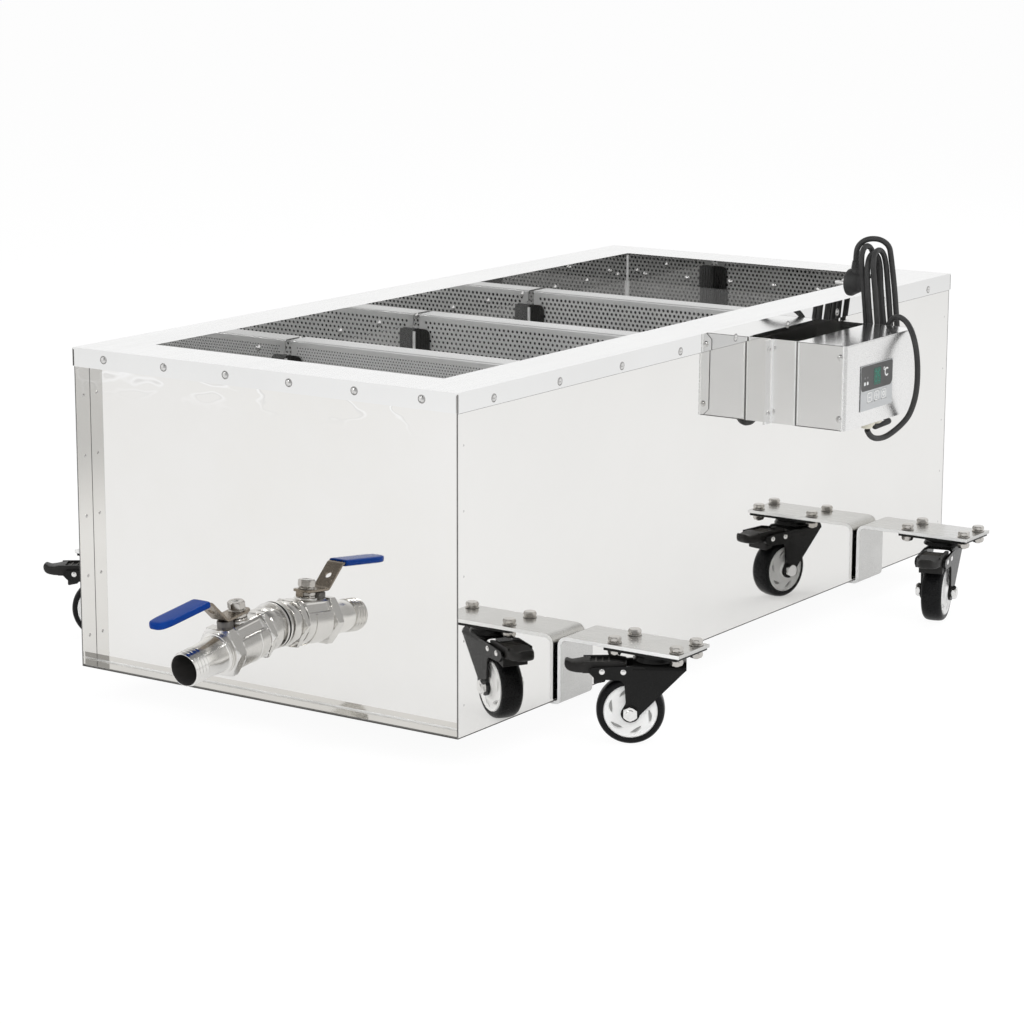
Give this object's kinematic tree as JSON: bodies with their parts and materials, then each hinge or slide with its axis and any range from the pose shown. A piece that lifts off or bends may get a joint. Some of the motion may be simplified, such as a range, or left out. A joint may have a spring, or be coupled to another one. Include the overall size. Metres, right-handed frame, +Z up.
{
  "type": "heated honey strainer tank",
  "caption": "Rectangular double-walled stainless honey tank with lift-out strainer screens, heater thermostat box, outlet ball valve with hose barb, and braked castors on outriggers.",
  "frame": {"origin": "on the floor, under the centre of the tank's plan", "axes": "+X towards the wall with the control box, -Y towards the outlet valve, +Z up"},
  "size_m": [0.9174, 1.3072, 0.4825],
  "materials": {
    "polished_sheet": "mirror-polished stainless sheet",
    "rim_sheet": "satin stainless sheet",
    "basin_sheet": "polished stainless, inside",
    "screen_sheet": "perforated stainless sheet",
    "fasteners": "bright steel",
    "valve_steel": "cast and turned stainless",
    "seat_white": "white sealing plastic",
    "seal_black": "black rubber",
    "sleeve_blue": "blue vinyl",
    "bracket_steel": "stainless plate",
    "black_steel": "black coated steel",
    "wheel_plastic": "black tread on a white hub",
    "box_sheet": "satin stainless sheet",
    "panel_grey": "printed membrane panel",
    "button_grey": "membrane buttons",
    "gland_ivory": "ivory plastic",
    "cord_black": "black cord sheath",
    "heater_mat": "silicone heating mat",
    "insulation": "mineral wool board"
  },
  "bodies": {
    "tank": {"base_panel": "polished_sheet", "right_panel": "polished_sheet", "left_panel": "polished_sheet", "front_panel": "polished_sheet", "rear_panel": "polished_sheet", "basin": "basin_sheet", "rim_cap": "rim_sheet", "dome_rivets": "fasteners", "insulation_boards": "insulation", "heater_mat": "heater_mat", "temperature_probe": "fasteners", "screen_guides": "basin_sheet", "outlet_nipple": "valve_steel", "outlet_gasket": "seal_black", "outlet_locknut": "valve_steel", "valve_end_piece": "valve_steel", "valve_body": "valve_steel", "valve_seats": "seat_white", "packing_nut": "valve_steel", "hose_barb": "valve_steel", "outrigger_brackets": "bracket_steel", "castor_plates": "black_steel", "castor_bolts": "fasteners", "box_standoff": "box_sheet", "box_body": "box_sheet", "box_cover": "box_sheet", "cover_screws": "fasteners", "thermostat": "panel_grey", "cord_gland": "gland_ivory", "heater_lead": "cord_black", "cord_lead": "cord_black", "cord_hank": "cord_black", "cord_plug": "cord_black"},
    "valve_handle": {"valve_ball": "valve_steel", "valve_stem": "valve_steel", "valve_lever": "valve_steel", "lever_nut": "valve_steel", "lever_sleeve": "sleeve_blue"},
    "strainer_fine": {"screen_fine": "screen_sheet"},
    "strainer_medium": {"screen_medium": "screen_sheet"},
    "strainer_coarse": {"screen_coarse": "screen_sheet"},
    "key_minus": {"button_minus": "button_grey"},
    "key_plus": {"button_plus": "button_grey"},
    "key_set": {"button_set": "button_grey"},
    "castor_front_right": {"fork_front_right": "black_steel", "axle_front_right": "fasteners"},
    "roller_front_right": {"wheel_front_right": "wheel_plastic"},
    "brake_front_right": {"pedal_front_right": "black_steel"},
    "castor_front_left": {"fork_front_left": "black_steel", "axle_front_left": "fasteners"},
    "roller_front_left": {"wheel_front_left": "wheel_plastic"},
    "brake_front_left": {"pedal_front_left": "black_steel"},
    "castor_rear_right": {"fork_rear_right": "black_steel", "axle_rear_right": "fasteners"},
    "roller_rear_right": {"wheel_rear_right": "wheel_plastic"},
    "brake_rear_right": {"pedal_rear_right": "black_steel"},
    "castor_rear_left": {"fork_rear_left": "black_steel", "axle_rear_left": "fasteners"},
    "roller_rear_left": {"wheel_rear_left": "wheel_plastic"},
    "brake_rear_left": {"pedal_rear_left": "black_steel"}
  },
  "joints": [
    {"name": "valve_turn", "type": "hinge", "parent": "tank", "child": "valve_handle", "pos_m": [-0.002, -0.59829, 0.11119], "axis": [0, -0.1201, 0.9928], "range_deg": [0, 90]},
    {"name": "lift_fine", "type": "slide", "parent": "tank", "child": "strainer_fine", "axis": [0, 0, 1], "range_m": [0, 0.33]},
    {"name": "lift_medium", "type": "slide", "parent": "tank", "child": "strainer_medium", "axis": [0, 0, 1], "range_m": [0, 0.33]},
    {"name": "lift_coarse", "type": "slide", "parent": "tank", "child": "strainer_coarse", "axis": [0, 0, 1], "range_m": [0, 0.33]},
    {"name": "press_minus", "type": "slide", "parent": "tank", "child": "key_minus", "axis": [-1, 0, 0], "range_m": [0, 0.0008], "stiffness_N_per_m": 600},
    {"name": "press_plus", "type": "slide", "parent": "tank", "child": "key_plus", "axis": [-1, 0, 0], "range_m": [0, 0.0008], "stiffness_N_per_m": 600},
    {"name": "press_set", "type": "slide", "parent": "tank", "child": "key_set", "axis": [-1, 0, 0], "range_m": [0, 0.0008], "stiffness_N_per_m": 600},
    {"name": "swivel_front_right", "type": "hinge", "parent": "tank", "child": "castor_front_right", "pos_m": [0.37, -0.347, 0.1], "axis": [0, 0, 1], "continuous": true},
    {"name": "roll_front_right", "type": "hinge", "parent": "castor_front_right", "child": "roller_front_right", "pos_m": [0.34771, -0.36039, 0.0375], "axis": [0.515, -0.8572, 0], "continuous": true},
    {"name": "brake_front_right", "type": "hinge", "parent": "castor_front_right", "child": "brake_front_right", "pos_m": [0.34086, -0.36451, 0.0831], "axis": [0.515, -0.8572, 0], "range_deg": [0, 12]},
    {"name": "swivel_front_left", "type": "hinge", "parent": "tank", "child": "castor_front_left", "pos_m": [-0.405, -0.33, 0.1], "axis": [0, 0, 1], "continuous": true},
    {"name": "roll_front_left", "type": "hinge", "parent": "castor_front_left", "child": "roller_front_left", "pos_m": [-0.42752, -0.343, 0.0375], "axis": [0.5, -0.866, 0], "continuous": true},
    {"name": "brake_front_left", "type": "hinge", "parent": "castor_front_left", "child": "brake_front_left", "pos_m": [-0.43445, -0.347, 0.0831], "axis": [0.5, -0.866, 0], "range_deg": [0, 12]},
    {"name": "swivel_rear_right", "type": "hinge", "parent": "tank", "child": "castor_rear_right", "pos_m": [0.37, 0.347, 0.1], "axis": [0, 0, 1], "continuous": true},
    {"name": "roll_rear_right", "type": "hinge", "parent": "castor_rear_right", "child": "roller_rear_right", "pos_m": [0.37629, 0.32177, 0.0375], "axis": [0.9703, 0.2419, 0], "continuous": true},
    {"name": "brake_rear_right", "type": "hinge", "parent": "castor_rear_right", "child": "brake_rear_right", "pos_m": [0.37822, 0.31401, 0.0831], "axis": [0.9703, 0.2419, 0], "range_deg": [0, 12]},
    {"name": "swivel_rear_left", "type": "hinge", "parent": "tank", "child": "castor_rear_left", "pos_m": [-0.405, 0.33, 0.1], "axis": [0, 0, 1], "continuous": true},
    {"name": "roll_rear_left", "type": "hinge", "parent": "castor_rear_left", "child": "roller_rear_left", "pos_m": [-0.41389, 0.30557, 0.0375], "axis": [0.9397, -0.342, 0], "continuous": true},
    {"name": "brake_rear_left", "type": "hinge", "parent": "castor_rear_left", "child": "brake_rear_left", "pos_m": [-0.41663, 0.29805, 0.0831], "axis": [0.9397, -0.342, 0], "range_deg": [0, 12]}
  ]
}
